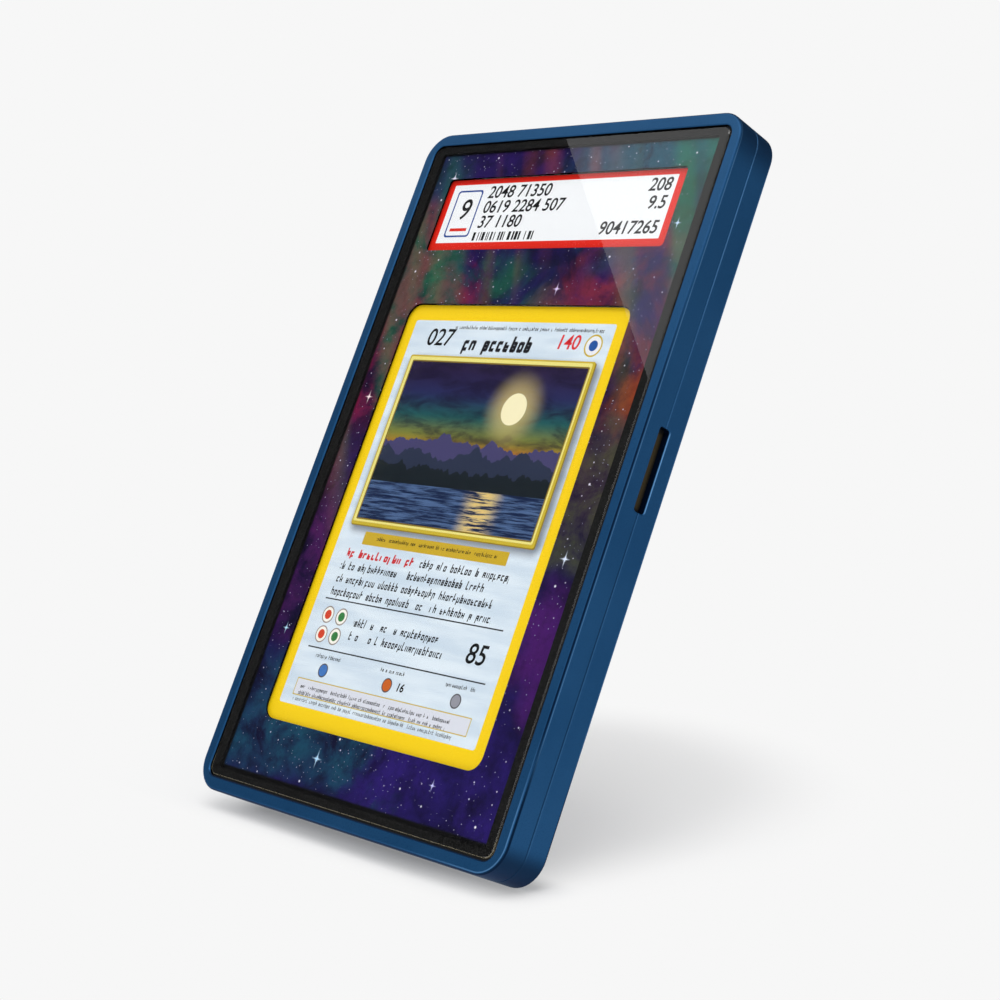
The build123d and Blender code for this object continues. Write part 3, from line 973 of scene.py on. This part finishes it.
def plate(name, corners, material):
    """A flat stage piece from its corners."""
    mesh = bpy.data.meshes.new(name)
    mesh.from_pydata([tuple(corner) for corner in corners], [], [tuple(range(len(corners)))])
    mesh.materials.append(material)
    piece = bpy.data.objects.new(name, mesh)
    bpy.context.scene.collection.objects.link(piece)
    return piece


def seen_directly(finish):
    """1 to the camera, and in gloss and glass, and 0 to all other light."""
    rays = finish.node("ShaderNodeLightPath").outputs
    seen = Signal(finish, rays["Is Camera Ray"])
    for ray in ("Is Glossy Ray", "Is Transmission Ray"):
        seen = seen.most(Signal(finish, rays[ray]))
    return seen


def floor_paint():
    """Pale floor seen from above, nothing from below. To the camera, and in gloss, a share of it is
    its own pale colour, so that the shadow on it stays light. The share is painted by place, which
    paints the shadow's shape: it is least along the heel, a painted deepening of the shadow there,
    and whole well away from the case, where it paints the shadow out. Places are in millimetres
    ahead of the heel and across it."""
    finish = Finish("pale floor")
    x, y, z = finish.axes(tuple(heel))
    ahead = y * forward.y + z * forward.z
    # painted shadow: how far the floor's own colour is held back along the heel
    depth = ahead.rise(-9.0, -2.0) * 0.52 + ahead.rise(-62.0, -34.0) * 0.14
    near = ahead.rise(12.0, -2.0) * x.rise(-43.0, -31.0) * x.rise(51.0, 44.0) * depth
    # painted light: well away from the case the floor shows only its own colour, without shadow
    far = reach(x, ahead, (-20.0, -40.0)).rise(50.0, 85.0).most(ahead.rise(6.0, 14.0))
    own = (far * (1.0 - OWN_TONE) + OWN_TONE) * (1.0 - near)
    colour = {"Color": (PALE, PALE, PALE, 1.0)}
    matt = finish.node("ShaderNodeBsdfDiffuse", None, colour).outputs[0]
    plain = finish.node("ShaderNodeEmission", None, colour).outputs[0]
    seen = seen_directly(finish)
    shown = finish.node("ShaderNodeMixShader", None, {0: seen * own, 1: matt, 2: plain})
    under = finish.node("ShaderNodeNewGeometry").outputs["Backfacing"]
    nothing = finish.node("ShaderNodeBsdfTransparent").outputs[0]
    mixed = finish.node("ShaderNodeMixShader", None, {0: under, 1: shown.outputs[0], 2: nothing})
    return finish.done(mixed.outputs[0])


quarters = ((-1, 1), (1, 1), (1, -1), (-1, -1))
floor_corners = [studio_place(a * FLOOR_REACH, b * FLOOR_REACH, 0.0) for a, b in quarters]
plate("floor", floor_corners, floor_paint())


def studio_card(name, corners, finish_name, level):
    """A card of an even grey that only gloss and glass show."""
    finish = Finish(finish_name)
    grey = finish.done(finish.node("ShaderNodeEmission", None, {"Strength": level}).outputs[0])
    card = plate(name, corners, grey)
    card.visible_camera = False
    card.visible_diffuse = False
    card.visible_shadow = False


def mirrored_to(point, flag_y):
    """The place on the plane y = flag_y that the camera sees mirrored at a point of the front pane:
    on the line from the camera's mirror image through the point."""
    face_y = case_low.y
    image = Vector((CAMERA_PLACE.x, 2 * face_y - CAMERA_PLACE.y, CAMERA_PLACE.z))
    far = (flag_y - image.y) / (face_y - image.y)
    return image + (Vector((point[0], face_y, point[1])) - image) * far


FLAG_Y = -0.45
FLAG_BEFORE = 0.5  # how far the flag's edge runs on past the sheen's start
FLAG_BEYOND = 0.6  # and past its end
FLAG_WIDTH = 1.1
SHEEN_START = (-0.0024, 0.1418)  # the bright reflection's edge at the pane's top
SHEEN_END = (0.0419, 0.0903)  # and at its right side
start = mirrored_to(SHEEN_START, FLAG_Y)
end = mirrored_to(SHEEN_END, FLAG_Y)
run = (end - start).normalized()
away = Vector((run.z, 0.0, -run.x))
away = away if away.x < 0 else -away
start -= run * FLAG_BEFORE
end += run * FLAG_BEYOND
flag_corners = [start, end, end + away * FLAG_WIDTH, start + away * FLAG_WIDTH]
studio_card("black_flag", flag_corners, "black studio card", 0.0)

# each card's corners: metres to the right of the heel, ahead of it and above the floor
SIDE_CARD = ((0.35, -0.9, -0.002), (0.9, 0.1, -0.002), (0.9, 0.1, 0.6), (0.35, -0.9, 0.6))
HIGH_CARD = ((-0.7, -0.35, 0.75), (0.7, -0.35, 0.75), (0.7, -0.85, 0.3), (-0.7, -0.85, 0.3))
for name, corners, finish_name, level in (
    ("side_card", SIDE_CARD, "grey studio card", 0.25),
    ("high_card", HIGH_CARD, "dark studio card", 0.05),
):
    studio_card(name, [studio_place(*corner) for corner in corners], finish_name, level)

sun_data = bpy.data.lights.new("soft overhead lamp", "SUN")
sun_data.angle = math.radians(LAMP_SPREAD)
sun = bpy.data.objects.new("soft overhead lamp", sun_data)
towards = studio_way(0.22, 0.3, 0.93)
sun.rotation_mode = "QUATERNION"
sun.rotation_quaternion = towards.to_track_quat("Z", "Y")
bpy.context.scene.collection.objects.link(sun)
sun_data.energy = math.pi * OVERHEAD / towards.dot(up)

world = bpy.data.worlds.new("studio")
bpy.context.scene.world = world
sky = Finish("studio", world)
glow_from = studio_way(0.15, 0.9, 0.4)
compare = {"operation": "DOT_PRODUCT"}
facing = sky.node("ShaderNodeVectorMath", compare, {0: sky.place, 1: glow_from})
glow = Signal(sky, facing.outputs["Value"]).most(0.0)
seen = seen_directly(sky)
lit = AMBIENT + glow * FRONT_GLOW
strength = lit + seen * (PALE - lit)
backdrop = sky.node("ShaderNodeBackground", None, {"Color": (1.0,) * 4, "Strength": strength})
sky.node("ShaderNodeOutputWorld", None, {"Surface": backdrop.outputs[0]})

bpy.context.scene.view_settings.view_transform = "Standard"
